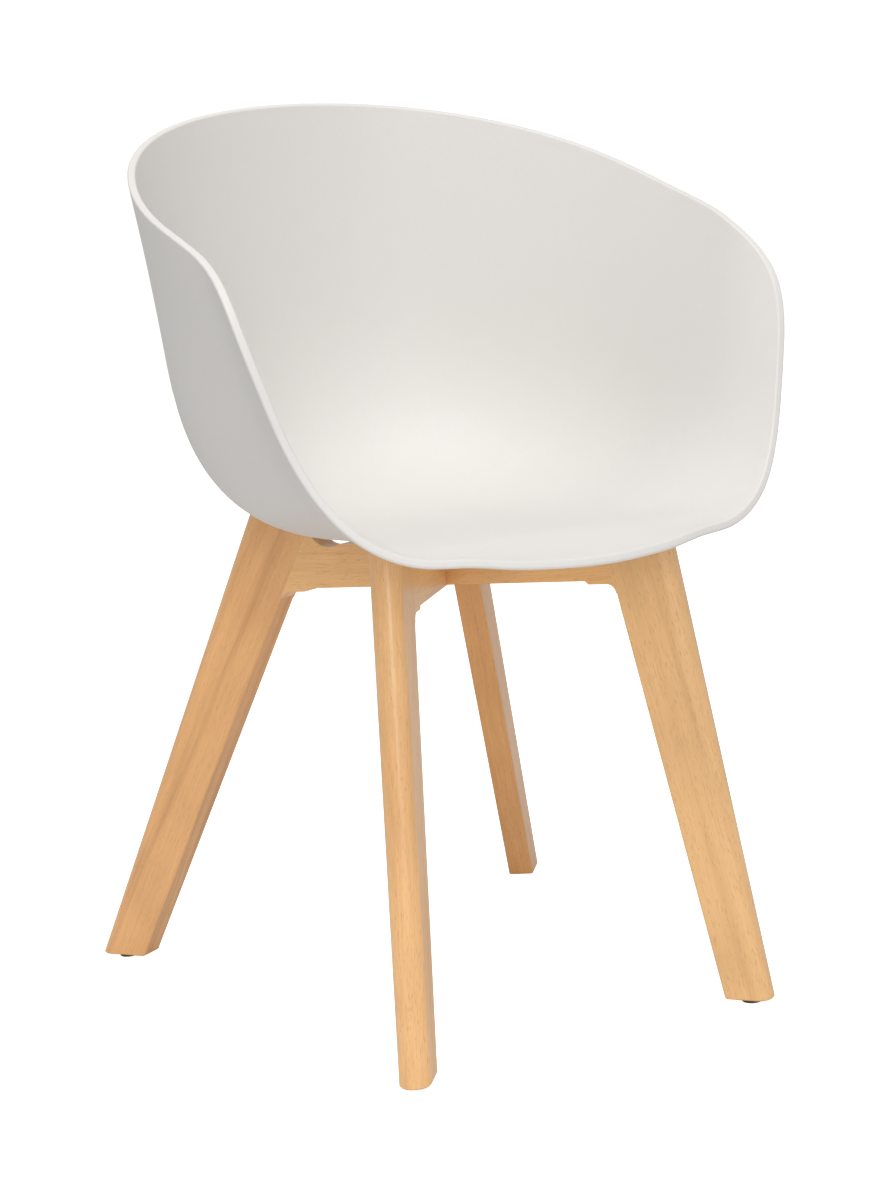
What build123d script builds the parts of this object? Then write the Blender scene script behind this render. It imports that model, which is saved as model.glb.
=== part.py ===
from build123d import *
import os
from math import atan2, cos, hypot, pi, radians, sin, tan

# Dining chair: a moulded tub shell on a base of two crossed beech rails with four splayed legs.
# Millimetres, +Z up, front of the chair towards -Y, origin on the floor under the chair's middle.

# ---- driving dimensions ------------------------------------------------------------------------
CROSSING_Y = -18.8            # where the two rails cross, in front of the chair's middle
SPREAD_ANGLE = 53.9           # plan angle of the rails from the X axis
BOARD = 26.5                  # thickness of rails and legs

GLIDE_THICKNESS = 3.5
GLIDE_RADIUS = 9.0
GLIDE_ROUND = 1.0
NAIL_RADIUS = 1.3
NAIL_LENGTH = 15.0            # length inside the leg
NAIL_HEAD_RADIUS = 3.0
NAIL_HEAD_THICKNESS = 0.9
NAIL_HEAD_TOP = 1.9
PLAY = 0.05                   # room around pins, dowels and screws in their holes

# Each leg is a tapering board in the plane of its rail. Reach is measured along the rail from the
# crossing to the leg's edge at floor level, and lean is how far that edge leans in per mm of height.
REAR_OUTER_REACH = 420.3
REAR_OUTER_LEAN = 0.5153
REAR_INNER_REACH = 365.0
REAR_INNER_LEAN = 0.562
FRONT_OUTER_REACH = 296.1
FRONT_OUTER_LEAN = 0.156
FRONT_INNER_REACH = 255.9
FRONT_INNER_LEAN = 0.204
LEG_OUTER_ROUND = 12.5
LEG_INNER_ROUND = 2.0
LONG_EDGE = 300.0             # only a leg's four long edges are longer than this
FOOT_CHAMFER = 1.2
REAR_LEG_TOP = 462.0          # the boards are cut this high, then scribed to the shell
FRONT_LEG_TOP = 427.0
ROUND_STOP = 362.0            # the inner edges are rounded up to this height
FLUSH_WIDTH = 10.0
SCRIBE_GAP = 0.6              # room left between the wood and the shell

RAIL_BOTTOM = 373.2
RAIL_TOP = 414.0
SHOULDER_DROP = 3.0           # the rail is this much deeper where it meets a leg
SHOULDER_LENGTH = 27.0
LEG_SHELF = 428.0             # top corner of the rail where it meets a leg
SCOOP_DIP = 411.5             # lowest point of the hollow beside the leg
SCOOP_LENGTH = 34.0
SCOOP_LOW_PLACE = 0.42        # how far along the hollow its lowest point lies
SCOOP_START = 74.0            # nearest to the crossing that a hollow begins
CORNER_REACH = 7.0            # extent of the hollow corner below the rail, along rail and leg
CROSSING_PLAY = 0.15          # play of the halved joint, on each side

PLATE_THICKNESS = 3.0
PLATE_REACH = 84.0            # half the plate's diagonal, along the rails
PLATE_CORNER_ROUND = 8.0
PLATE_CENTRE_HOLE = 8.0
PLATE_TOP = RAIL_TOP + PLATE_THICKNESS
PLATE_SCREW_REACHES = (38.0, 64.0)
PLATE_SCREW_HOLE = 2.3
WOOD_SCREW_RADIUS = 2.0
WOOD_SCREW_LENGTH = 24.0
WOOD_SCREW_HEAD_RADIUS = 4.2
WOOD_SCREW_HEAD_HEIGHT = 2.4
WOOD_SCREW_TIP = 5.0
WOOD_SCREW_TIP_DEPTH = 1.4    # how far the point narrows
WOOD_SCREW_HEAD_ROUND = 1.4
DRIVE_LENGTH = 4.4            # cross recess in the screw heads
DRIVE_WIDTH = 1.0
DRIVE_DEPTH = 1.5

BOLT_OFFSET = 46.0            # shell bolts, from the crossing along X and along Y
BOLT_RADIUS = 3.0
BOLT_HOLE = 3.3
BOLT_HEAD_RADIUS = 5.2
BOLT_HEAD_HEIGHT = 4.0
BOLT_HEAD_ROUND = 1.0
BOLT_LENGTH = 16.0
SOCKET_RADIUS = 2.6
SOCKET_DEPTH = 2.4
WASHER_RADIUS = 7.0
WASHER_THICKNESS = 1.4
SPRING_WASHER_RADIUS = 5.4
SPRING_WASHER_THICKNESS = 1.5
SPRING_WASHER_SLIT = 0.8
WASHER_LOW = RAIL_TOP - WASHER_THICKNESS
SPRING_WASHER_LOW = WASHER_LOW - SPRING_WASHER_THICKNESS
PAD_RADIUS = 9.0
PAD_THICKNESS = 2.0
BOSS_RADIUS = 9.5
BOSS_FOOT = PLATE_TOP + PAD_THICKNESS
INSERT_RADIUS = 4.2
INSERT_LENGTH = 8.5

DOWEL_RADIUS = 4.0
DOWEL_LENGTH = 36.0
DOWEL_CHAMFER = 1.0
DOWEL_HEIGHTS = (390.0, 408.0)

# The shell's inner face grows from a point on the seat. In every plan direction it runs level for
# the floor length, turns up over the bend length, and ends at the wall angle from level.
WALL = 7.0
SEAT_POINT_Y = CROSSING_Y - 125.8
SEAT_POINT_Z = 434.0
DISH_ANGLE = -1.2             # the seat falls away very slightly around that point
DISH_LENGTH = 136.0
FLOOR_FRONT, FLOOR_SIDE, FLOOR_BACK = 299.0, 37.0, 98.5
BEND_FRONT, BEND_SIDE, BEND_BACK = 122.0, 274.0, 435.0
WALL_FRONT, WALL_SIDE, WALL_BACK = -9.0, 77.0, 94.8
FRONT_BLEND = 2.47
BACK_BLEND = 2.0
LIP_DROP = 17.5               # how far the middle of the front lip rolls down
LIP_DROP_START = 70.0         # in front of the seat point
LIP_DROP_LENGTH = 120.0
SHEET_SIDE = 520.0            # half width of the uncut sheet, along the surface
SHEET_FRONT = 205.0
SHEET_BACK = 720.0
SHEET_STEPS = 30
PATH_STEPS = 60

# The rim in side view, from the top of the back down the arm to the seat's front lip.
RIM_BACK = (201.0, 829.0)
RIM_SHOULDER = (52.0, 760.0)
RIM_ARM = (-54.0, 711.0)
RIM_ARM_CORNER = (-146.0, 672.0)
RIM_ARM_BEND = (-199.0, 629.0)
RIM_ARM_FRONT = (-231.0, 520.0)
RIM_ARM_FOOT = (-252.0, 445.0)
RIM_LIP = (-262.0, 410.0)
LIP_BULGE = 40.0              # how far the lip's middle stands in front of the arms' feet
LIP_HALF_WIDTH = 230.0
LIP_TOP = 440.0
ARM_FOOT_TOP = 560.0
RIM_ROUND = 2.0
RIM_EDGE = 500.0              # only the rim's edges are longer than this
CUTTER_BEHIND, CUTTER_RISE = 200.0, 18.0
CUTTER_AHEAD, CUTTER_BELOW = 2.0, 25.0
CUTTER_HALF_WIDTH = 340.0
CUTTER_DEPTH = 500.0
CUTTER_STEPS = 36
ROOM_HEIGHT = 400.0           # height of the space kept free above the shell's skin
BOSS_EMBED = 1.5              # how deep the bosses run into the wall
BOSS_REACH = 30.0

os.makedirs("parts", exist_ok=True)


def save(piece, name):
    """Label a finished piece and write it as one STEP file."""
    piece.part.label = name
    export_step(piece.part, f"parts/{name}.step")


# ---- shell -------------------------------------------------------------------------------------
def ease(t):
    """A step from 0 to 1 with soft ends."""
    t = min(1.0, max(0.0, t))
    return t * t * t * (t * (6 * t - 15) + 10)


def by_direction(front, side, back, forward):
    """Blend a front, side and back value by how far a direction points forward (-1 to 1)."""
    to_front = max(0.0, forward) ** FRONT_BLEND
    to_back = max(0.0, -forward) ** BACK_BLEND
    return side + (front - side) * to_front + (back - side) * to_back


def lip_middle(x):
    """How much a place belongs to the middle of the front lip, from 0 to 1."""
    return max(0.0, 1 - (x / LIP_HALF_WIDTH) ** 2) ** 2


def shell_point(across, along, lift):
    """Point of the shell reached by walking over the sheet; lift is measured outwards from it."""
    distance = hypot(across, along)
    heading = atan2(across, -along)
    forward = cos(heading)
    floor = by_direction(FLOOR_FRONT, FLOOR_SIDE, FLOOR_BACK, forward)
    bend = by_direction(BEND_FRONT, BEND_SIDE, BEND_BACK, forward)
    wall = radians(by_direction(WALL_FRONT, WALL_SIDE, WALL_BACK, forward))
    step = distance / PATH_STEPS
    radius = 0.0
    height = 0.0
    slope = 0.0
    for i in range(PATH_STEPS):
        walked = (i + 0.5) * step
        dish = radians(DISH_ANGLE) * sin(min(1.0, walked / DISH_LENGTH) * pi / 2)
        slope = dish + (wall - dish) * ease((walked - floor) / bend)
        radius += cos(slope) * step
        height += sin(slope) * step
    radius += lift * sin(slope)
    height -= lift * cos(slope)
    rolled = ease((radius * cos(heading) - LIP_DROP_START) / LIP_DROP_LENGTH)
    height -= LIP_DROP * rolled * lip_middle(radius * sin(heading))
    return Vector(radius * sin(heading), SEAT_POINT_Y - radius * cos(heading), SEAT_POINT_Z + height)


def shell_sheet(lift):
    """The uncut sheet as one smooth face."""
    rows = []
    for j in range(SHEET_STEPS + 1):
        along = -SHEET_FRONT + (SHEET_FRONT + SHEET_BACK) * j / SHEET_STEPS
        row = []
        for i in range(SHEET_STEPS + 1):
            across = SHEET_SIDE * (2 * i / SHEET_STEPS - 1)
            row.append(shell_point(across, along, lift))
        rows.append(row)
    return Face.make_surface_from_array_of_points(rows, tol=0.05, min_deg=3, max_deg=3)


def rim_cutter():
    """Everything in front of and above the rim."""
    profile = Edge.make_spline(
        [
            Vector(0, CROSSING_Y + y, z)
            for y, z in (
                RIM_BACK,
                RIM_SHOULDER,
                RIM_ARM,
                RIM_ARM_CORNER,
                RIM_ARM_BEND,
                RIM_ARM_FRONT,
                RIM_ARM_FOOT,
                RIM_LIP,
            )
        ]
    )
    back = profile.position_at(0)
    foot = profile.position_at(1)
    side_view = [Vector(0, back.Y + CUTTER_BEHIND, back.Z + CUTTER_RISE)]
    side_view += [profile.position_at(i / CUTTER_STEPS) for i in range(CUTTER_STEPS + 1)]
    side_view += [Vector(0, foot.Y - CUTTER_AHEAD, foot.Z - CUTTER_BELOW)]
    rows = []
    for place in side_view:
        low = ease((ARM_FOOT_TOP - place.Z) / (ARM_FOOT_TOP - LIP_TOP))
        row = []
        for i in range(SHEET_STEPS + 1):
            x = CUTTER_HALF_WIDTH * (2 * i / SHEET_STEPS - 1)
            row.append(Vector(x, place.Y - LIP_BULGE * low * lip_middle(x), place.Z))
        rows.append(row)
    face = Face.make_surface_from_array_of_points(rows, tol=0.05, min_deg=3, max_deg=3)
    return Solid.extrude(face, Vector(0, -CUTTER_DEPTH, CUTTER_DEPTH))


def bolt_places():
    """Plan positions of the four shell bolts."""
    return [
        (BOLT_OFFSET, CROSSING_Y),
        (-BOLT_OFFSET, CROSSING_Y),
        (0, CROSSING_Y + BOLT_OFFSET),
        (0, CROSSING_Y - BOLT_OFFSET),
    ]


def build_shell():
    """The tub: a thickened sheet cut along the rim, with bosses for the bolts moulded underneath."""
    trimmed = Solid.thicken(shell_sheet(0), WALL, normal_override=(0, 0, -1)) - rim_cutter()
    tub = trimmed.solids().sort_by(lambda piece: piece.volume)[-1]
    under_skin = Solid.extrude(shell_sheet(WALL - BOSS_EMBED), Vector(0, 0, ROOM_HEIGHT))
    with BuildPart() as skin:
        add(tub)
        rim_edges = skin.edges().filter_by(lambda edge: edge.length > RIM_EDGE)
        fillet(rim_edges, RIM_ROUND)
    with BuildPart() as bosses:
        with BuildSketch(Plane.XY.offset(BOSS_FOOT)):
            with Locations(*bolt_places()):
                Circle(BOSS_RADIUS)
        extrude(amount=BOSS_REACH)
        add(under_skin, mode=Mode.SUBTRACT)
    with BuildPart() as seat_shell:
        add(skin.part)
        add(bosses.part)
        with BuildSketch(Plane.XY.offset(BOSS_FOOT)):
            with Locations(*bolt_places()):
                Circle(INSERT_RADIUS + PLAY)
        extrude(amount=INSERT_LENGTH + PLAY, mode=Mode.SUBTRACT)
    return seat_shell


# ---- base --------------------------------------------------------------------------------------
# Every leg and rail is drawn in the upright plane of its rail: X runs outwards from the crossing
# and Y is height. A side is -1 for left and 1 for right, an end is -1 for front and 1 for rear.
def rail_plane(side, end):
    """The plane through one half of a rail."""
    angle = radians(SPREAD_ANGLE)
    outwards = Vector(side * cos(angle), end * sin(angle), 0)
    return Plane(origin=(0, CROSSING_Y, 0), x_dir=outwards, z_dir=outwards.cross(Vector(0, 0, 1)))


def along_rail(side, end, reach):
    """Plan position at a reach along one half of a rail."""
    angle = radians(SPREAD_ANGLE)
    return (side * reach * cos(angle), CROSSING_Y + end * reach * sin(angle))


def inner_lean(end):
    return REAR_INNER_LEAN if end > 0 else FRONT_INNER_LEAN


def inner_reach(end, height):
    foot = REAR_INNER_REACH if end > 0 else FRONT_INNER_REACH
    return foot - inner_lean(end) * height


def outer_reach(end, height):
    foot = REAR_OUTER_REACH if end > 0 else FRONT_OUTER_REACH
    lean = REAR_OUTER_LEAN if end > 0 else FRONT_OUTER_LEAN
    return foot - lean * height


def foot_centre(side, end):
    """Middle of a foot in plan."""
    reach = (outer_reach(end, GLIDE_THICKNESS) + inner_reach(end, GLIDE_THICKNESS)) / 2
    return along_rail(side, end, reach)


def dowel_axes(side, end):
    """Planes at the middles of a leg's two dowels, square to the leg's inner edge."""
    board = rail_plane(side, end)
    across = board.from_local_coords(Vector(1, inner_lean(end), 0)) - board.origin
    return [
        Plane(origin=board.from_local_coords(Vector(inner_reach(end, height), height, 0)), z_dir=across)
        for height in DOWEL_HEIGHTS
    ]


def edge_reach(edge):
    """Plan distance from the crossing to the middle of an edge."""
    return hypot(edge.center().X, edge.center().Y - CROSSING_Y)


def build_leg(side, end, shell_room):
    board = rail_plane(side, end)
    top = REAR_LEG_TOP if end > 0 else FRONT_LEG_TOP
    floor = GLIDE_THICKNESS
    with BuildPart() as leg:
        with BuildSketch(board):
            with BuildLine():
                Polyline(
                    (outer_reach(end, floor), floor),
                    (outer_reach(end, top), top),
                    (inner_reach(end, top), top),
                    (inner_reach(end, floor), floor),
                    close=True,
                )
            make_face()
        extrude(amount=BOARD / 2, both=True)
        long_edges = leg.edges().filter_by(lambda edge: edge.length > LONG_EDGE)
        fillet(long_edges.sort_by(edge_reach)[2:], LEG_OUTER_ROUND)
        long_edges = leg.edges().filter_by(lambda edge: edge.length > LONG_EDGE)
        fillet(long_edges.sort_by(edge_reach)[:2], LEG_INNER_ROUND)
        chamfer(leg.faces().sort_by(Axis.Z)[0].edges(), FOOT_CHAMFER)
        # the inner edges stay square beside the rail, so that rail and leg lie flush
        with BuildSketch(board):
            with BuildLine():
                Polyline(
                    (inner_reach(end, ROUND_STOP) + FLUSH_WIDTH, ROUND_STOP),
                    (inner_reach(end, top) + FLUSH_WIDTH, top),
                    (inner_reach(end, top), top),
                    (inner_reach(end, ROUND_STOP), ROUND_STOP),
                    close=True,
                )
            make_face()
        extrude(amount=BOARD / 2, both=True)
        add(shell_room, mode=Mode.SUBTRACT)
        for axis in dowel_axes(side, end):
            with BuildSketch(axis):
                Circle(DOWEL_RADIUS + PLAY)
            extrude(amount=DOWEL_LENGTH / 2 + PLAY, both=True, mode=Mode.SUBTRACT)
        with BuildSketch(Plane.XY.offset(GLIDE_THICKNESS)):
            with Locations(foot_centre(side, end)):
                Circle(NAIL_RADIUS + PLAY)
        extrude(amount=NAIL_LENGTH + PLAY, mode=Mode.SUBTRACT)
    return leg


def build_half_rail(side, end):
    """Half a rail, from the crossing out to one leg, before its holes and notch."""
    low = RAIL_BOTTOM - SHOULDER_DROP
    corner = Vector(inner_reach(end, low), low)
    down_leg = Vector(inner_lean(end), -1).normalized()
    towards_crossing = Vector(-1, 0)
    on_rail = corner + towards_crossing * CORNER_REACH
    on_leg = corner + down_leg * CORNER_REACH
    half_angle = radians(towards_crossing.get_angle(down_leg) / 2)
    corner_round = CORNER_REACH * tan(half_angle)
    bisector = (towards_crossing + down_leg).normalized()
    hollow = corner + bisector * (hypot(CORNER_REACH, corner_round) - corner_round)
    shoulder = corner.X - SHOULDER_LENGTH
    shelf = Vector(inner_reach(end, LEG_SHELF), LEG_SHELF)
    scoop_start = Vector(max(SCOOP_START, shelf.X - SCOOP_LENGTH), RAIL_TOP)
    scoop_low = Vector(scoop_start.X + (shelf.X - scoop_start.X) * SCOOP_LOW_PLACE, SCOOP_DIP)
    with BuildPart() as half:
        with BuildSketch(rail_plane(side, end)):
            with BuildLine():
                Line(shelf, on_leg)
                ThreePointArc(on_leg, hollow, on_rail)
                Polyline(
                    on_rail,
                    (shoulder + SHOULDER_DROP, low),
                    (shoulder, RAIL_BOTTOM),
                    (0, RAIL_BOTTOM),
                    (0, RAIL_TOP),
                    scoop_start,
                )
                Spline(scoop_start, scoop_low, shelf)
            make_face()
        extrude(amount=BOARD / 2, both=True)
    return half


def build_rail(side, notch_low, notch_high, shell_room):
    """The rail from the front leg on one side to the rear leg on the other, halved at the crossing."""
    front_half = build_half_rail(side, -1)
    rear_half = build_half_rail(-side, 1)
    with BuildPart() as rail:
        add(front_half.part)
        add(rear_half.part)
        with BuildSketch(rail_plane(-side, -1)):
            with BuildLine():
                Polyline(
                    (-BOARD, notch_low),
                    (BOARD, notch_low),
                    (BOARD, notch_high),
                    (-BOARD, notch_high),
                    close=True,
                )
            make_face()
        extrude(amount=BOARD / 2 + CROSSING_PLAY, both=True, mode=Mode.SUBTRACT)
        for half_side, end in ((side, -1), (-side, 1)):
            for axis in dowel_axes(half_side, end):
                with BuildSketch(axis):
                    Circle(DOWEL_RADIUS + PLAY)
                extrude(amount=DOWEL_LENGTH / 2 + PLAY, both=True, mode=Mode.SUBTRACT)
            with BuildSketch(Plane.XY.offset(RAIL_TOP)):
                with Locations(*[along_rail(half_side, end, reach) for reach in PLATE_SCREW_REACHES]):
                    Circle(WOOD_SCREW_RADIUS + PLAY)
            extrude(amount=PLATE_THICKNESS - WOOD_SCREW_LENGTH - PLAY, mode=Mode.SUBTRACT)
        add(shell_room, mode=Mode.SUBTRACT)
    return rail


def build_leg_dowels(side, end):
    with BuildPart() as dowels:
        for axis in dowel_axes(side, end):
            with BuildSketch(axis):
                Circle(DOWEL_RADIUS)
            extrude(amount=DOWEL_LENGTH / 2, both=True)
        chamfer(dowels.edges().filter_by(GeomType.CIRCLE), DOWEL_CHAMFER)
    return dowels


# ---- fixings between base and shell ------------------------------------------------------------
CORNERS = ((-1, -1), (1, -1), (1, 1), (-1, 1))


def plate_screw_places():
    return [along_rail(side, end, reach) for side, end in CORNERS for reach in PLATE_SCREW_REACHES]


def build_mounting_plate():
    with BuildPart() as plate:
        with BuildSketch(Plane.XY.offset(RAIL_TOP)) as outline:
            with BuildLine():
                Polyline(*[along_rail(side, end, PLATE_REACH) for side, end in CORNERS], close=True)
            make_face()
            fillet(outline.vertices(), PLATE_CORNER_ROUND)
            with Locations((0, CROSSING_Y)):
                Circle(PLATE_CENTRE_HOLE, mode=Mode.SUBTRACT)
            with Locations(*bolt_places()):
                Circle(BOLT_HOLE, mode=Mode.SUBTRACT)
            with Locations(*plate_screw_places()):
                Circle(PLATE_SCREW_HOLE, mode=Mode.SUBTRACT)
        extrude(amount=PLATE_THICKNESS)
    return plate


def build_plate_screws():
    """Pan-head wood screws that hold the plate down on the rails."""
    with BuildPart() as screws:
        with BuildSketch(Plane.XY.offset(PLATE_TOP)):
            with Locations(*plate_screw_places()):
                Circle(WOOD_SCREW_RADIUS)
        extrude(amount=-WOOD_SCREW_LENGTH)
        tips = screws.faces().filter_by(Axis.Z).group_by(Axis.Z)[0]
        chamfer(tips.edges(), length=WOOD_SCREW_TIP, length2=WOOD_SCREW_TIP_DEPTH)
        with BuildSketch(Plane.XY.offset(PLATE_TOP)):
            with Locations(*plate_screw_places()):
                Circle(WOOD_SCREW_HEAD_RADIUS)
        extrude(amount=WOOD_SCREW_HEAD_HEIGHT)
        crowns = screws.faces().filter_by(Axis.Z).group_by(Axis.Z)[-1]
        fillet(crowns.edges(), WOOD_SCREW_HEAD_ROUND)
        with BuildSketch(Plane.XY.offset(PLATE_TOP + WOOD_SCREW_HEAD_HEIGHT)):
            with Locations(*plate_screw_places()):
                Rectangle(DRIVE_LENGTH, DRIVE_WIDTH)
                Rectangle(DRIVE_WIDTH, DRIVE_LENGTH)
        extrude(amount=-DRIVE_DEPTH, mode=Mode.SUBTRACT)
    return screws


def build_rings(low, thickness, radius, hole):
    """Like rings, one on each bolt."""
    with BuildPart() as rings:
        with BuildSketch(Plane.XY.offset(low)):
            with Locations(*bolt_places()):
                Circle(radius)
                Circle(hole, mode=Mode.SUBTRACT)
        extrude(amount=thickness)
    return rings


def build_spring_washers():
    """Split lock washers: rings with a slit."""
    with BuildPart() as washers:
        with BuildSketch(Plane.XY.offset(SPRING_WASHER_LOW)):
            with Locations(*bolt_places()):
                Circle(SPRING_WASHER_RADIUS)
                Circle(BOLT_HOLE, mode=Mode.SUBTRACT)
                with Locations((0, -SPRING_WASHER_RADIUS)):
                    Rectangle(SPRING_WASHER_SLIT, SPRING_WASHER_RADIUS, mode=Mode.SUBTRACT)
        extrude(amount=SPRING_WASHER_THICKNESS)
    return washers


def build_shell_bolts():
    """Socket-head machine screws that come up through the plate into the shell's inserts."""
    with BuildPart() as bolts:
        with BuildSketch(Plane.XY.offset(SPRING_WASHER_LOW)):
            with Locations(*bolt_places()):
                Circle(BOLT_RADIUS)
        extrude(amount=BOLT_LENGTH)
        with BuildSketch(Plane.XY.offset(SPRING_WASHER_LOW)):
            with Locations(*bolt_places()):
                Circle(BOLT_HEAD_RADIUS)
        extrude(amount=-BOLT_HEAD_HEIGHT)
        undersides = bolts.faces().filter_by(Axis.Z).group_by(Axis.Z)[0]
        fillet(undersides.edges(), BOLT_HEAD_ROUND)
        with BuildSketch(Plane.XY.offset(SPRING_WASHER_LOW - BOLT_HEAD_HEIGHT)):
            with Locations(*bolt_places()):
                RegularPolygon(SOCKET_RADIUS, 6)
        extrude(amount=SOCKET_DEPTH, mode=Mode.SUBTRACT)
    return bolts


# ---- feet --------------------------------------------------------------------------------------
def build_glide(side, end):
    """A round nylon glide with a sunk hole for its nail."""
    with BuildPart() as glide:
        with BuildSketch():
            with Locations(foot_centre(side, end)):
                Circle(GLIDE_RADIUS)
        extrude(amount=GLIDE_THICKNESS)
        fillet(glide.edges().sort_by(Axis.Z)[0], GLIDE_ROUND)
        with BuildSketch():
            with Locations(foot_centre(side, end)):
                Circle(NAIL_HEAD_RADIUS + PLAY)
        extrude(amount=NAIL_HEAD_TOP + PLAY, mode=Mode.SUBTRACT)
        with BuildSketch():
            with Locations(foot_centre(side, end)):
                Circle(NAIL_RADIUS + PLAY)
        extrude(amount=GLIDE_THICKNESS, mode=Mode.SUBTRACT)
    return glide


def build_glide_nails():
    with BuildPart() as nails:
        with BuildSketch(Plane.XY.offset(NAIL_HEAD_TOP)):
            with Locations(*[foot_centre(side, end) for side, end in CORNERS]):
                Circle(NAIL_HEAD_RADIUS)
        extrude(amount=-NAIL_HEAD_THICKNESS)
        with BuildSketch(Plane.XY.offset(NAIL_HEAD_TOP)):
            with Locations(*[foot_centre(side, end) for side, end in CORNERS]):
                Circle(NAIL_RADIUS)
        extrude(amount=GLIDE_THICKNESS - NAIL_HEAD_TOP + NAIL_LENGTH)
    return nails


# ---- all pieces --------------------------------------------------------------------------------
save(build_shell(), "seat_shell")
save(build_rings(BOSS_FOOT, INSERT_LENGTH, INSERT_RADIUS, BOLT_RADIUS + PLAY), "shell_inserts")

shell_room = Solid.extrude(shell_sheet(WALL + SCRIBE_GAP), Vector(0, 0, ROOM_HEIGHT))
side_names = {-1: "left", 1: "right"}
end_names = {-1: "front", 1: "rear"}
for side, end in CORNERS:
    place = f"{end_names[end]}_{side_names[side]}"
    save(build_leg(side, end, shell_room), f"leg_{place}")
    save(build_leg_dowels(side, end), f"leg_dowels_{place}")
    save(build_glide(side, end), f"foot_glide_{place}")
save(build_glide_nails(), "glide_nails")

rail_middle = (RAIL_BOTTOM + RAIL_TOP) / 2
upper_notch = (rail_middle, RAIL_TOP + BOARD)
lower_notch = (RAIL_BOTTOM - BOARD, rail_middle + CROSSING_PLAY)
save(build_rail(-1, *lower_notch, shell_room), "rail_front_left_to_rear_right")
save(build_rail(1, *upper_notch, shell_room), "rail_front_right_to_rear_left")

save(build_mounting_plate(), "mounting_plate")
save(build_plate_screws(), "plate_screws")
save(build_rings(PLATE_TOP, PAD_THICKNESS, PAD_RADIUS, BOLT_HOLE), "spacer_pads")
save(build_rings(WASHER_LOW, WASHER_THICKNESS, WASHER_RADIUS, BOLT_HOLE), "flat_washers")
save(build_spring_washers(), "spring_washers")
save(build_shell_bolts(), "shell_bolts")
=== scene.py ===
"""Dining chair: a moulded tub shell on a crossed beech base. Finishes, studio and camera."""

import math

import bmesh
import bpy
from bpy.props import FloatProperty, FloatVectorProperty, PointerProperty
from mathutils import Matrix, Vector


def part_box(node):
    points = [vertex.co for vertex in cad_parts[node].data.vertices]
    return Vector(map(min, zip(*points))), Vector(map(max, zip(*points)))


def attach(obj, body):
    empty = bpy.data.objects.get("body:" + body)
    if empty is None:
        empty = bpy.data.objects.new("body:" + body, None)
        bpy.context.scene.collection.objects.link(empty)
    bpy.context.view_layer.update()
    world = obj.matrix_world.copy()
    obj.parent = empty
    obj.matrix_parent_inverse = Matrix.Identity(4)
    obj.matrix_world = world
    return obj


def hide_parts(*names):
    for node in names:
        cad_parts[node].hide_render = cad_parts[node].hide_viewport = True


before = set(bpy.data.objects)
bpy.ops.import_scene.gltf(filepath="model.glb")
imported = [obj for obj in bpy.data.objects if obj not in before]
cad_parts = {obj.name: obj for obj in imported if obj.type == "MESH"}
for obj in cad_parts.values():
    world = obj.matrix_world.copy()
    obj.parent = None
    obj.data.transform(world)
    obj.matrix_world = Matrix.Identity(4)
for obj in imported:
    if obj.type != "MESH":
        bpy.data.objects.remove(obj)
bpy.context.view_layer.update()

bl_info = {
    "name": "Dining Chair",
    "version": (1, 0, 0),
    "blender": (4, 5, 0),
    "location": "3D View > Sidebar > Dining Chair",
    "description": "Finishes a tub dining chair with beech legs and sets it in a plain studio",
    "category": "Object",
}

RAILS = ("rail_front_left_to_rear_right", "rail_front_right_to_rear_left")
GLIDES = (
    "foot_glide_front_left",
    "foot_glide_front_right",
    "foot_glide_rear_left",
    "foot_glide_rear_right",
)
DOWELS = (
    "leg_dowels_front_left",
    "leg_dowels_front_right",
    "leg_dowels_rear_left",
    "leg_dowels_rear_right",
)
STEEL = ("mounting_plate", "plate_screws", "shell_bolts", "flat_washers", "spring_washers", "glide_nails")

# each leg's own cut of timber: place in the grain, streaks and flecks; the last field is a tint of painted
# light and shade, darkening the rear legs as painted shade where they sit under the shell, and the
# front-left leg slightly
LEG_LOOKS = {
    "leg_front_left": ((0.31, 0.02, 0.11), 0.45, 0.40, (1.0, 0.96, 0.93)),
    "leg_front_right": ((1.73, 0.23, 0.04), 0.35, 0.50, (1.0, 1.0, 1.0)),
    "leg_rear_left": ((2.47, 0.51, 0.37), 0.90, 0.35, (0.93, 0.83, 0.75)),
    "leg_rear_right": ((3.91, 0.77, 0.63), 0.55, 0.40, (0.92, 0.78, 0.64)),
}
RAIL_PLACES = ((5.2, 0.9, 0.2), (6.4, 0.1, 0.8))
RAIL_STREAKS = 0.5
RAIL_FLECKS = 0.45
# the rails' beech is lightened here as painted light, a brighter copy of the same wood
RAIL_PAINTED_LIGHT = (1.06, 1.03, 0.97)
DOWEL_PLACE = (8.1, 0.4, 0.6)
DOWEL_STREAKS = 0.3
DOWEL_FLECKS = 0.4

WELD_DISTANCE = 0.00001       # metres; the CAD mesh is loose triangles
SLIVER_LENGTH = 0.000005
SMALL_PART_CREASE = math.radians(30.0)

PLASTIC_IOR = 1.48
BARE_WOOD_ROUGHNESS = 0.62
LACQUER_ROUGHNESS = 0.24
GRAIN_DEPTH = 0.00006
GRAIN_RELIEF = 0.35
MOULD_RELIEF = 0.5
PLATING_DEPTH = 0.00002
PLATING_RELIEF = 0.2
PAD_ROUGHNESS = 0.75
NYLON_ROUGHNESS = 0.45
SMALL_MOULD_DEPTH = 0.00008
SMALL_MOULD_RELIEF = 0.4

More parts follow.
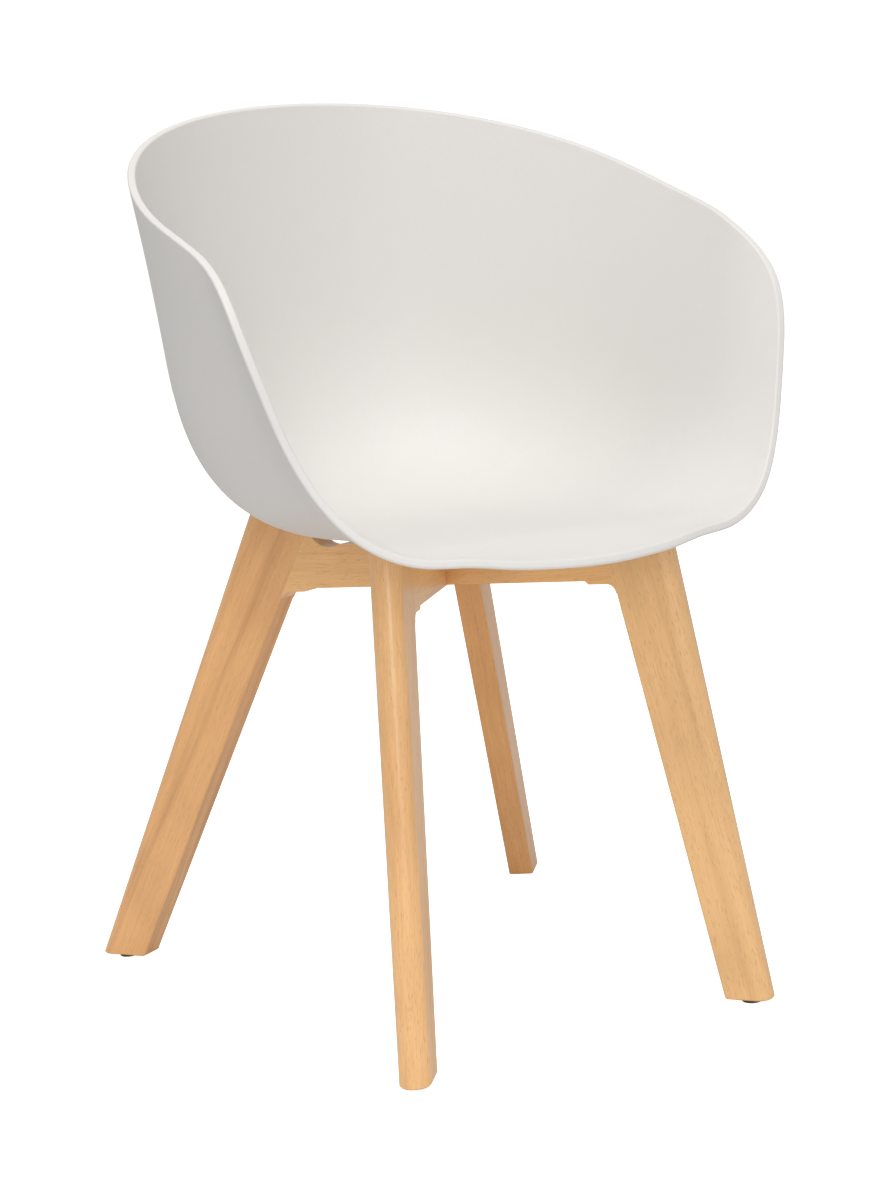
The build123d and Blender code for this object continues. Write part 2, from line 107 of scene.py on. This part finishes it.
FILM_HEIGHT = 24.0            # mm
AIM_HEIGHT = 0.4725           # height of the point that the framing starts from
AIM_RIGHT = 0.0105            # framing: how far the aim moves right and down in the picture
AIM_DOWN = 0.1134
CLIP_NEAR = 0.05
CLIP_FAR = 50.0
LIGHT_TARGET = (0.0, 0.0, 0.5)
KEY_PLACE = (-0.6, -0.9, 3.1)
KEY_SIZE = 2.0
KEY_TINT = (1.0, 0.99, 0.975)
FILL_PLACE = (-1.2, -3.0, 1.2)
FILL_SIZE = 1.2
FILL_TINT = (1.0, 0.99, 0.98)
FLOOR_RADIUS = 60.0
FLOOR_SEGMENTS = 96
FLOOR_ROUGHNESS = 0.85
BACKDROP_STRENGTH = 1.05      # what the camera sees behind the floor


# ---- sizes and colours a user would change -----------------------------------------------------
class ShellSettings(bpy.types.PropertyGroup):
    """The moulded tub."""

    colour: FloatVectorProperty(
        name="Shell Colour", description="Colour of the moulded plastic",
        default=(0.745, 0.728, 0.705), min=0.0, max=1.0, size=3, subtype="COLOR",
    )
    roughness: FloatProperty(
        name="Roughness", description="How matt the moulded face is",
        default=0.52, min=0.0, max=1.0, subtype="FACTOR",
    )
    grain_height: FloatProperty(
        name="Texture Height", description="Depth of the fine moulded texture",
        default=0.00005, min=0.0, max=0.001, precision=6, subtype="DISTANCE", unit="LENGTH",
    )
    crease_angle: FloatProperty(
        name="Crease Angle", description="Edges sharper than this stay crisp",
        default=math.radians(38.0), min=0.0, max=math.pi, subtype="ANGLE", unit="ROTATION",
    )


class WoodSettings(bpy.types.PropertyGroup):
    """The lacquered beech of the base."""

    light: FloatVectorProperty(
        name="Light Wood", description="Colour of the pale wood between the streaks",
        default=(0.94, 0.575, 0.257), min=0.0, max=1.0, size=3, subtype="COLOR",
    )
    dark: FloatVectorProperty(
        name="Streaks", description="Colour of the darker streaks along the grain",
        default=(0.70, 0.385, 0.158), min=0.0, max=1.0, size=3, subtype="COLOR",
    )
    fleck: FloatVectorProperty(
        name="Flecks", description="Colour of the short ray flecks",
        default=(0.45, 0.215, 0.08), min=0.0, max=1.0, size=3, subtype="COLOR",
    )
    roughness: FloatProperty(
        name="Roughness", description="Roughness of the wood under its lacquer",
        default=0.42, min=0.0, max=1.0, subtype="FACTOR",
    )
    lacquer: FloatProperty(
        name="Lacquer", description="Strength of the clear satin lacquer",
        default=0.55, min=0.0, max=1.0, subtype="FACTOR",
    )


class HardwareSettings(bpy.types.PropertyGroup):
    """Steel, brass, rubber and nylon small parts."""

    zinc: FloatVectorProperty(
        name="Zinc Steel", description="Colour of the plated steel",
        default=(0.66, 0.67, 0.69), min=0.0, max=1.0, size=3, subtype="COLOR",
    )
    brass: FloatVectorProperty(
        name="Brass", description="Colour of the threaded inserts",
        default=(0.74, 0.55, 0.24), min=0.0, max=1.0, size=3, subtype="COLOR",
    )
    rubber: FloatVectorProperty(
        name="Rubber", description="Colour of the spacer pads",
        default=(0.035, 0.034, 0.033), min=0.0, max=1.0, size=3, subtype="COLOR",
    )
    nylon: FloatVectorProperty(
        name="Nylon", description="Colour of the foot glides",
        default=(0.07, 0.055, 0.042), min=0.0, max=1.0, size=3, subtype="COLOR",
    )


class StudioSettings(bpy.types.PropertyGroup):
    """Camera, floor and lights."""

    azimuth: FloatProperty(
        name="Azimuth", description="Camera direction around the chair, from straight in front",
        default=math.radians(-25.73), subtype="ANGLE", unit="ROTATION",
    )
    elevation: FloatProperty(
        name="Elevation", description="Camera height as an angle above level",
        default=math.radians(6.91), subtype="ANGLE", unit="ROTATION",
    )
    roll: FloatProperty(
        name="Roll", description="Turn of the camera about its line of sight",
        default=math.radians(-4.95), subtype="ANGLE", unit="ROTATION",
    )
    distance: FloatProperty(
        name="Distance", description="Camera to the middle of the chair",
        default=1.892, min=0.5, max=20.0, subtype="DISTANCE", unit="LENGTH",
    )
    focal_length: FloatProperty(
        name="Focal Length", description="Lens, for a picture 24 mm high on the film",
        default=41.8, min=10.0, max=300.0, subtype="DISTANCE_CAMERA",
    )
    floor_colour: FloatVectorProperty(
        name="Floor Colour", description="Colour of the plain floor and background",
        default=(0.80, 0.80, 0.80), min=0.0, max=1.0, size=3, subtype="COLOR",
    )
    floor_glow: FloatProperty(
        name="Floor Glow", description="How much paler the floor looks than the light it throws back",
        default=0.95, min=0.0, max=5.0,
    )
    key_power: FloatProperty(
        name="Key Light", description="Power of the large soft light above the front",
        default=45.0, min=0.0, max=1000.0, subtype="POWER", unit="POWER",
    )
    fill_power: FloatProperty(
        name="Fill Light", description="Power of the weaker light low at the front",
        default=19.0, min=0.0, max=1000.0, subtype="POWER", unit="POWER",
    )
    room_light: FloatProperty(
        name="Room Light", description="Strength of the even light from all round",
        default=0.56, min=0.0, max=10.0,
    )


# ---- shared shader groups ----------------------------------------------------------------------
def new_group(name, inputs, outputs):
    """An empty shader group with named sockets. Inputs are (name, socket type, default)."""
    group = bpy.data.node_groups.new(name, "ShaderNodeTree")
    for label, kind, value in inputs:
        socket = group.interface.new_socket(label, in_out="INPUT", socket_type=kind)
        if value is not None:
            socket.default_value = value
    for label, kind in outputs:
        group.interface.new_socket(label, in_out="OUTPUT", socket_type=kind)
    return group


def add_node(tree, kind, settings=None, **values):
    """A node with its properties and its unlinked input values set."""
    node = tree.nodes.new(kind)
    for key, value in (settings or {}).items():
        setattr(node, key, value)
    for key, value in values.items():
        node.inputs[key.replace("_", " ")].default_value = value
    return node


def scaled(tree, vector, factors):
    """The vector times fixed factors, to stretch a pattern along the grain."""
    node = add_node(tree, "ShaderNodeVectorMath", {"operation": "MULTIPLY"})
    tree.links.new(vector, node.inputs[0])
    node.inputs[1].default_value = factors
    return node.outputs["Vector"]


def ramp(tree, factor, start, end):
    """A mask that rises from 0 to 1 between two values."""
    node = add_node(tree, "ShaderNodeMapRange", {"interpolation_type": "SMOOTHSTEP"})
    node.inputs["From Min"].default_value = start
    node.inputs["From Max"].default_value = end
    tree.links.new(factor, node.inputs["Value"])
    return node.outputs["Result"]


def mixed(tree, factor, first, second, blend="MIX"):
    """Two colours mixed. Each of the three is a socket or a plain value."""
    node = add_node(tree, "ShaderNodeMix", {"data_type": "RGBA", "blend_type": blend})
    for socket, value in ((node.inputs[0], factor), (node.inputs[6], first), (node.inputs[7], second)):
        if isinstance(value, bpy.types.NodeSocket):
            tree.links.new(value, socket)
        elif isinstance(value, (int, float)):
            socket.default_value = value
        else:
            socket.default_value = (*value, 1.0)
    return node.outputs[2]


def math_node(tree, operation, first, second):
    node = add_node(tree, "ShaderNodeMath", {"operation": operation})
    for socket, value in zip(node.inputs, (first, second)):
        if isinstance(value, bpy.types.NodeSocket):
            tree.links.new(value, socket)
        else:
            socket.default_value = value
    return node.outputs[0]


def beech_group():
    """Beech seen along the board: broad streaks, fine fibres, short ray flecks, slow tone drift."""
    group = new_group(
        "Beech Grain",
        [
            ("Vector", "NodeSocketVector", None),
            ("Light", "NodeSocketColor", None),
            ("Streak", "NodeSocketColor", None),
            ("Fleck", "NodeSocketColor", None),
            ("Streak Strength", "NodeSocketFloat", 0.5),
            ("Fleck Strength", "NodeSocketFloat", 0.5),
        ],
        [("Color", "NodeSocketColor"), ("Height", "NodeSocketFloat"), ("Roughness", "NodeSocketFloat")],
    )
    entry = group.nodes.new("NodeGroupInput")
    leaving = group.nodes.new("NodeGroupOutput")
    link = group.links.new
    place = entry.outputs["Vector"]
    # slow bend of the grain, so that streaks aren't ruled straight
    drift = add_node(group, "ShaderNodeTexNoise", Scale=5.0, Detail=1.0, Roughness=0.4)
    link(place, drift.inputs["Vector"])
    bend = add_node(group, "ShaderNodeVectorMath", {"operation": "MULTIPLY_ADD"})
    link(drift.outputs["Color"], bend.inputs[0])
    bend.inputs[1].default_value = (0.0, 0.012, 0.012)
    link(place, bend.inputs[2])
    bent = bend.outputs["Vector"]
    streaks = add_node(group, "ShaderNodeTexNoise", Scale=1.0, Detail=3.0, Roughness=0.55)
    link(scaled(group, bent, (1.7, 62.0, 62.0)), streaks.inputs["Vector"])
    fibres = add_node(group, "ShaderNodeTexNoise", Scale=1.0, Detail=2.0, Roughness=0.6)
    link(scaled(group, bent, (14.0, 760.0, 760.0)), fibres.inputs["Vector"])
    flecks = add_node(group, "ShaderNodeTexNoise", Scale=1.0, Detail=1.0, Roughness=0.5)
    link(scaled(group, bent, (120.0, 1500.0, 1500.0)), flecks.inputs["Vector"])
    clouds = add_node(group, "ShaderNodeTexNoise", Scale=9.0, Detail=2.0, Roughness=0.5)
    link(place, clouds.inputs["Vector"])
    streak_mask = math_node(
        group, "MULTIPLY", ramp(group, streaks.outputs["Fac"], 0.44, 0.72), entry.outputs["Streak Strength"]
    )
    fleck_mask = math_node(
        group, "MULTIPLY", ramp(group, flecks.outputs["Fac"], 0.60, 0.74), entry.outputs["Fleck Strength"]
    )
    tone = mixed(group, streak_mask, entry.outputs["Light"], entry.outputs["Streak"])
    fibre_mask = ramp(group, fibres.outputs["Fac"], 0.35, 0.75)
    fibre_tone = mixed(group, fibre_mask, (0.95, 0.94, 0.93), (1.04, 1.04, 1.05))
    tone = mixed(group, 1.0, tone, fibre_tone, "MULTIPLY")
    cloud_mask = ramp(group, clouds.outputs["Fac"], 0.3, 0.7)
    cloud_tone = mixed(group, cloud_mask, (0.94, 0.92, 0.90), (1.05, 1.05, 1.05))
    tone = mixed(group, 1.0, tone, cloud_tone, "MULTIPLY")
    tone = mixed(group, fleck_mask, tone, entry.outputs["Fleck"])
    link(tone, leaving.inputs["Color"])
    link(math_node(group, "SUBTRACT", fibres.outputs["Fac"], fleck_mask), leaving.inputs["Height"])
    link(math_node(group, "MULTIPLY", fleck_mask, 0.12), leaving.inputs["Roughness"])
    return group


def moulding_group():
    """Fine spark-eroded mould texture with a trace of handling marks."""
    group = new_group(
        "Moulded Texture",
        [
            ("Vector", "NodeSocketVector", None),
            ("Color", "NodeSocketColor", None),
            ("Roughness", "NodeSocketFloat", 0.5),
        ],
        [("Color", "NodeSocketColor"), ("Height", "NodeSocketFloat"), ("Roughness", "NodeSocketFloat")],
    )
    entry = group.nodes.new("NodeGroupInput")
    leaving = group.nodes.new("NodeGroupOutput")
    link = group.links.new
    pits = add_node(group, "ShaderNodeTexVoronoi", {"feature": "SMOOTH_F1"}, Scale=1150.0, Smoothness=0.6)
    link(entry.outputs["Vector"], pits.inputs["Vector"])
    sparks = add_node(group, "ShaderNodeTexNoise", Scale=620.0, Detail=2.0, Roughness=0.6)
    link(entry.outputs["Vector"], sparks.inputs["Vector"])
    cloud = add_node(group, "ShaderNodeTexNoise", Scale=3.5, Detail=3.0, Roughness=0.5)
    link(entry.outputs["Vector"], cloud.inputs["Vector"])
    cloud_mask = ramp(group, cloud.outputs["Fac"], 0.3, 0.7)
    shade = mixed(group, cloud_mask, (0.985, 0.985, 0.985), (1.0, 1.0, 1.0))
    spark_mask = ramp(group, sparks.outputs["Fac"], 0.35, 0.7)
    speckle = mixed(group, spark_mask, (0.985, 0.984, 0.983), (1.0, 1.0, 1.0))
    shaded = mixed(group, 1.0, entry.outputs["Color"], shade, "MULTIPLY")
    tone = mixed(group, 1.0, shaded, speckle, "MULTIPLY")
    link(tone, leaving.inputs["Color"])
    link(math_node(group, "ADD", pits.outputs["Distance"], sparks.outputs["Fac"]), leaving.inputs["Height"])
    spread = math_node(group, "MULTIPLY", math_node(group, "SUBTRACT", cloud.outputs["Fac"], 0.5), 0.10)
    link(math_node(group, "ADD", entry.outputs["Roughness"], spread), leaving.inputs["Roughness"])
    return group


def plating_group():
    """Bright plating with faint crystalline patches and fine scratches."""
    group = new_group(
        "Plated Metal",
        [("Vector", "NodeSocketVector", None), ("Color", "NodeSocketColor", None)],
        [("Color", "NodeSocketColor"), ("Roughness", "NodeSocketFloat"), ("Height", "NodeSocketFloat")],
    )
    entry = group.nodes.new("NodeGroupInput")
    leaving = group.nodes.new("NodeGroupOutput")
    link = group.links.new
    patches = add_node(group, "ShaderNodeTexVoronoi", Scale=210.0)
    link(entry.outputs["Vector"], patches.inputs["Vector"])
    scratches = add_node(group, "ShaderNodeTexNoise", Scale=1.0, Detail=2.0)
    link(scaled(group, entry.outputs["Vector"], (90.0, 2400.0, 900.0)), scratches.inputs["Vector"])
    patch_tone = mixed(group, patches.outputs["Color"], (0.90, 0.91, 0.93), (1.0, 1.0, 1.0))
    link(mixed(group, 1.0, entry.outputs["Color"], patch_tone, "MULTIPLY"), leaving.inputs["Color"])
    scratched = math_node(group, "MULTIPLY", scratches.outputs["Fac"], 0.22)
    link(math_node(group, "ADD", scratched, 0.18), leaving.inputs["Roughness"])
    link(scratches.outputs["Fac"], leaving.inputs["Height"])
    return group


# ---- materials ---------------------------------------------------------------------------------
def shared(name, make):
    """A shader group, made the first time it is asked for."""
    return bpy.data.node_groups.get(name) or make()


def blank_material(name):
    """A material with a Principled shader, the object's own coordinates and one named group."""
    material = bpy.data.materials.new(name)
    material.use_nodes = True
    shader = next(node for node in material.node_tree.nodes if node.type == "BSDF_PRINCIPLED")
    place = material.node_tree.nodes.new("ShaderNodeTexCoord").outputs["Object"]
    return material, material.node_tree, shader, place


def use_group(tree, group, vector, **values):
    node = tree.nodes.new("ShaderNodeGroup")
    node.node_tree = group
    tree.links.new(vector, node.inputs["Vector"])
    for key, value in values.items():
        node.inputs[key.replace("_", " ")].default_value = value
    return node


def bump(tree, shader, height, distance, strength):
    node = add_node(tree, "ShaderNodeBump", Strength=strength, Distance=distance)
    tree.links.new(height, node.inputs["Height"])
    tree.links.new(node.outputs["Normal"], shader.inputs["Normal"])


def shell_material(settings):
    material, tree, shader, place = blank_material("Tub Plastic")
    texture = use_group(
        tree, shared("Moulded Texture", moulding_group), place,
        Color=(*settings.colour, 1.0), Roughness=settings.roughness,
    )
    tree.links.new(texture.outputs["Color"], shader.inputs["Base Color"])
    tree.links.new(texture.outputs["Roughness"], shader.inputs["Roughness"])
    bump(tree, shader, texture.outputs["Height"], settings.grain_height, MOULD_RELIEF)
    shader.inputs["IOR"].default_value = PLASTIC_IOR
    return material


def beech_material(name, settings, rotation, offset, streaks, flecks, light_and_shade_tint=(1.0, 1.0, 1.0), lacquered=True):
    """Beech whose grain runs along the piece: the rotation turns the piece's length onto X. The tint is
    painted light and shade.
    """
    material, tree, shader, place = blank_material(name)
    turn = add_node(tree, "ShaderNodeMapping", {"vector_type": "POINT"})
    turn.inputs["Rotation"].default_value = rotation
    turn.inputs["Location"].default_value = offset
    tree.links.new(place, turn.inputs["Vector"])
    # the tint scales every wood colour: painted shade on the rear legs, painted light on the rails
    colours = (settings.light, settings.dark, settings.fleck)
    lit_and_shaded_colours = [tuple(c * t for c, t in zip(colour, light_and_shade_tint)) for colour in colours]
    grain = use_group(
        tree, shared("Beech Grain", beech_group), turn.outputs["Vector"],
        Light=(*lit_and_shaded_colours[0], 1.0), Streak=(*lit_and_shaded_colours[1], 1.0), Fleck=(*lit_and_shaded_colours[2], 1.0),
        Streak_Strength=streaks, Fleck_Strength=flecks,
    )
    tree.links.new(grain.outputs["Color"], shader.inputs["Base Color"])
    plain_roughness = settings.roughness if lacquered else BARE_WOOD_ROUGHNESS
    rough = math_node(tree, "ADD", grain.outputs["Roughness"], plain_roughness)
    tree.links.new(rough, shader.inputs["Roughness"])
    bump(tree, shader, grain.outputs["Height"], GRAIN_DEPTH, GRAIN_RELIEF)
    if lacquered:
        shader.inputs["Coat Weight"].default_value = settings.lacquer
        shader.inputs["Coat Roughness"].default_value = LACQUER_ROUGHNESS
    return material


def metal_material(name, colour):
    material, tree, shader, place = blank_material(name)
    plating = use_group(tree, shared("Plated Metal", plating_group), place, Color=(*colour, 1.0))
    tree.links.new(plating.outputs["Color"], shader.inputs["Base Color"])
    tree.links.new(plating.outputs["Roughness"], shader.inputs["Roughness"])
    bump(tree, shader, plating.outputs["Height"], PLATING_DEPTH, PLATING_RELIEF)
    shader.inputs["Metallic"].default_value = 1.0
    return material


def moulded_material(name, colour, roughness):
    """Small moulded pieces: rubber pads and nylon glides."""
    material, tree, shader, place = blank_material(name)
    texture = use_group(
        tree, shared("Moulded Texture", moulding_group), place, Color=(*colour, 1.0), Roughness=roughness
    )
    tree.links.new(texture.outputs["Color"], shader.inputs["Base Color"])
    tree.links.new(texture.outputs["Roughness"], shader.inputs["Roughness"])
    bump(tree, shader, texture.outputs["Height"], SMALL_MOULD_DEPTH, SMALL_MOULD_RELIEF)
    return material


# ---- pieces ------------------------------------------------------------------------------------
def smooth_copy(node, name, crease):
    """The CAD node's shape as one welded, smoothly shaded piece that stands for it."""
    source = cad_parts[node]
    form = bmesh.new()
    form.from_mesh(source.data)
    bmesh.ops.remove_doubles(form, verts=form.verts, dist=WELD_DISTANCE)
    bmesh.ops.dissolve_degenerate(form, edges=form.edges, dist=SLIVER_LENGTH)
    for face in form.faces:
        face.smooth = True
    for edge in form.edges:
        edge.smooth = len(edge.link_faces) == 2 and edge.calc_face_angle(math.pi) < crease
    mesh = bpy.data.meshes.new(name)
    form.to_mesh(mesh)
    form.free()
    piece = bpy.data.objects.new(name, mesh)
    bpy.context.scene.collection.objects.link(piece)
    weights = piece.modifiers.new("Even Normals", "WEIGHTED_NORMAL")
    weights.keep_sharp = True
    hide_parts(node)
    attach(piece, "root")
    return piece


def coat(thing, material):
    """Give a piece or a CAD node one material."""
    thing.data.materials.clear()
    thing.data.materials.append(material)


def long_axis(node):
    """Direction of a piece's greatest length, from the spread of its points."""
    points = [vertex.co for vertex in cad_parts[node].data.vertices]
    middle = sum(points, Vector()) / len(points)
    axis = Vector((0.3, 0.4, 0.8))
    for _ in range(40):
        pulled = Vector()
        for point in points:
            arm = point - middle
            pulled += arm * arm.dot(axis)
        axis = pulled.normalized()
    return axis


def grain_turn(axis):
    """Rotation that lays the piece's length on X."""
    return axis.rotation_difference(Vector((1.0, 0.0, 0.0))).to_euler("XYZ")


class CHAIR_OT_shell(bpy.types.Operator):
    """Finish the moulded tub"""

    bl_idname = "chair.finish_shell"
    bl_label = "Moulded Shell"

    def execute(self, context):
        settings = context.scene.chair_shell
        tub = smooth_copy("seat_shell", "moulded_tub", settings.crease_angle)
        coat(tub, shell_material(settings))
        return {"FINISHED"}


class CHAIR_OT_legs(bpy.types.Operator):
    """Finish the four legs in lacquered beech"""

    bl_idname = "chair.finish_legs"
    bl_label = "Beech Legs"

    def execute(self, context):
        settings = context.scene.chair_wood
        # each leg's last field is its tint of painted light and shade
        for node, (place, streaks, flecks, light_and_shade_tint) in LEG_LOOKS.items():
            piece = smooth_copy(node, node.replace("leg", "beech_leg"), SMALL_PART_CREASE)
            turn = grain_turn(long_axis(node))
            name = node.replace("_", " ").title()
            coat(piece, beech_material(name, settings, turn, place, streaks, flecks, light_and_shade_tint))
        return {"FINISHED"}


class CHAIR_OT_rails(bpy.types.Operator):
    """Finish the two crossed rails in lacquered beech"""

    bl_idname = "chair.finish_rails"
    bl_label = "Beech Rails"

    def execute(self, context):
        settings = context.scene.chair_wood
        for node, place in zip(RAILS, RAIL_PLACES):
            piece = smooth_copy(node, node.replace("rail", "beech_rail"), SMALL_PART_CREASE)
            turn = grain_turn(long_axis(node))
            name = node.replace("_", " ").title()
            # the rails' tint is painted light
            coat(piece, beech_material(name, settings, turn, place, RAIL_STREAKS, RAIL_FLECKS, RAIL_PAINTED_LIGHT))
        return {"FINISHED"}


class CHAIR_OT_hardware(bpy.types.Operator):
    """Finish dowels, plate, screws, bolts, washers, pads, inserts, glides and nails"""

    bl_idname = "chair.finish_hardware"
    bl_label = "Hardware and Glides"

    def execute(self, context):
        settings = context.scene.chair_hardware
        zinc = metal_material("Zinc Steel", settings.zinc)
        for node in STEEL:
            coat(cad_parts[node], zinc)
        coat(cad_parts["shell_inserts"], metal_material("Insert Brass", settings.brass))
        coat(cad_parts["spacer_pads"], moulded_material("Pad Rubber", settings.rubber, PAD_ROUGHNESS))
        nylon = moulded_material("Glide Nylon", settings.nylon, NYLON_ROUGHNESS)
        for node in GLIDES:
            piece = smooth_copy(node, node.replace("foot_glide", "nylon_glide"), SMALL_PART_CREASE)
            coat(piece, nylon)
        plain = beech_material(
            "Dowel Beech", context.scene.chair_wood, (0.0, 0.0, 0.0), DOWEL_PLACE,
            DOWEL_STREAKS, DOWEL_FLECKS, lacquered=False,
        )
        for node in DOWELS:
            coat(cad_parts[node], plain)
        return {"FINISHED"}


# ---- studio ------------------------------------------------------------------------------------
def camera_axes(azimuth, elevation, roll):
    """Right, up and backward directions of a camera that looks level at azimuth 0 from the front."""
    flat = math.cos(elevation)
    back = Vector((math.sin(azimuth) * flat, -math.cos(azimuth) * flat, math.sin(elevation)))
    level = Vector((math.cos(azimuth), math.sin(azimuth), 0.0))
    upward = back.cross(level)
    right = level * math.cos(roll) + upward * math.sin(roll)
    up = upward * math.cos(roll) - level * math.sin(roll)
    return right, up, back


def place_camera(settings):
    """The camera, aimed near the middle of the chair."""
    right, up, back = camera_axes(settings.azimuth, settings.elevation, settings.roll)
    crossing = (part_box("mounting_plate")[0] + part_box("mounting_plate")[1]) / 2
    aim = Vector((crossing.x, crossing.y, AIM_HEIGHT)) + right * AIM_RIGHT - up * AIM_DOWN
    lens = bpy.data.cameras.new("Camera")
    lens.sensor_fit = "VERTICAL"
    lens.sensor_height = FILM_HEIGHT
    lens.lens = settings.focal_length
    lens.clip_start = CLIP_NEAR
    lens.clip_end = CLIP_FAR
    camera = bpy.data.objects.new("Camera", lens)
    turn = Matrix((right, up, back)).transposed().to_4x4()
    camera.matrix_world = Matrix.Translation(aim + back * settings.distance) @ turn
    bpy.context.scene.collection.objects.link(camera)
    bpy.context.scene.camera = camera


def soft_light(name, place, size, power, colour):
    """A large square studio light that faces the chair."""
    lamp = bpy.data.lights.new(name, "AREA")
    lamp.shape = "SQUARE"
    lamp.size = size
    lamp.energy = power
    lamp.color = colour
    light = bpy.data.objects.new(name, lamp)
    aim = (Vector(LIGHT_TARGET) - Vector(place)).to_track_quat("-Z", "Y")
    light.matrix_world = Matrix.Translation(place) @ aim.to_matrix().to_4x4()
    bpy.context.scene.collection.objects.link(light)


def studio_floor(colour, glow):
    """A wide plain floor that looks paler than the light it throws back on the chair."""
    form = bmesh.new()
    bmesh.ops.create_circle(form, cap_ends=True, segments=FLOOR_SEGMENTS, radius=FLOOR_RADIUS)
    mesh = bpy.data.meshes.new("studio_floor")
    form.to_mesh(mesh)
    form.free()
    floor = bpy.data.objects.new("studio_floor", mesh)
    bpy.context.scene.collection.objects.link(floor)
    material, tree, shader, place = blank_material("Studio Floor")
    texture = use_group(
        tree, shared("Moulded Texture", moulding_group), place,
        Color=(*colour, 1.0), Roughness=FLOOR_ROUGHNESS,
    )
    tree.links.new(texture.outputs["Color"], shader.inputs["Base Color"])
    tree.links.new(texture.outputs["Roughness"], shader.inputs["Roughness"])
    shader.inputs["Emission Color"].default_value = (1.0, 1.0, 1.0, 1.0)
    sight = tree.nodes.new("ShaderNodeLightPath")
    seen_glow = math_node(tree, "MULTIPLY", sight.outputs["Is Camera Ray"], glow)
    tree.links.new(seen_glow, shader.inputs["Emission Strength"])
    coat(floor, material)


class CHAIR_OT_studio(bpy.types.Operator):
    """Set up the camera, the plain floor and the soft lights"""

    bl_idname = "chair.set_studio"
    bl_label = "Studio"

    def execute(self, context):
        settings = context.scene.chair_studio
        place_camera(settings)
        studio_floor(settings.floor_colour, settings.floor_glow)
        soft_light("Key Light", KEY_PLACE, KEY_SIZE, settings.key_power, KEY_TINT)
        soft_light("Fill Light", FILL_PLACE, FILL_SIZE, settings.fill_power, FILL_TINT)
        world = bpy.data.worlds.new("Studio")
        world.use_nodes = True
        tree = world.node_tree
        light = next(node for node in tree.nodes if node.type == "BACKGROUND")
        light.inputs["Color"].default_value = (1.0, 1.0, 1.0, 1.0)
        sight = tree.nodes.new("ShaderNodeLightPath")
        seen = sight.outputs["Is Camera Ray"]
        strength = mixed(tree, seen, (settings.room_light,) * 3, (BACKDROP_STRENGTH,) * 3)
        tree.links.new(strength, light.inputs["Strength"])
        context.scene.world = world
        context.scene.view_settings.view_transform = "Standard"
        return {"FINISHED"}


class CHAIR_PT_panel(bpy.types.Panel):
    """Sizes and colours of the dining chair"""

    bl_idname = "CHAIR_PT_panel"
    bl_label = "Dining Chair"
    bl_space_type = "VIEW_3D"
    bl_region_type = "UI"
    bl_category = "Dining Chair"

    def draw(self, context):
        for group, operators in SECTIONS:
            box = self.layout.box()
            settings = getattr(context.scene, group)
            for key in settings.__annotations__:
                box.prop(settings, key)
            for operator in operators:
                box.operator(operator.bl_idname)


SECTIONS = (
    ("chair_shell", (CHAIR_OT_shell,)),
    ("chair_wood", (CHAIR_OT_legs, CHAIR_OT_rails)),
    ("chair_hardware", (CHAIR_OT_hardware,)),
    ("chair_studio", (CHAIR_OT_studio,)),
)
SETTINGS = (
    ("chair_shell", ShellSettings),
    ("chair_wood", WoodSettings),
    ("chair_hardware", HardwareSettings),
    ("chair_studio", StudioSettings),
)
OPERATORS = (CHAIR_OT_shell, CHAIR_OT_legs, CHAIR_OT_rails, CHAIR_OT_hardware, CHAIR_OT_studio)


def register():
    for name, group in SETTINGS:
        bpy.utils.register_class(group)
        setattr(bpy.types.Scene, name, PointerProperty(type=group))
    for operator in OPERATORS:
        bpy.utils.register_class(operator)
    bpy.utils.register_class(CHAIR_PT_panel)


def unregister():
    bpy.utils.unregister_class(CHAIR_PT_panel)
    for operator in reversed(OPERATORS):
        bpy.utils.unregister_class(operator)
    for name, group in reversed(SETTINGS):
        delattr(bpy.types.Scene, name)
        bpy.utils.unregister_class(group)


def main():
    register()
    bpy.ops.chair.finish_shell()
    bpy.ops.chair.finish_legs()
    bpy.ops.chair.finish_rails()
    bpy.ops.chair.finish_hardware()
    bpy.ops.chair.set_studio()


if __name__ == "__main__":
    main()
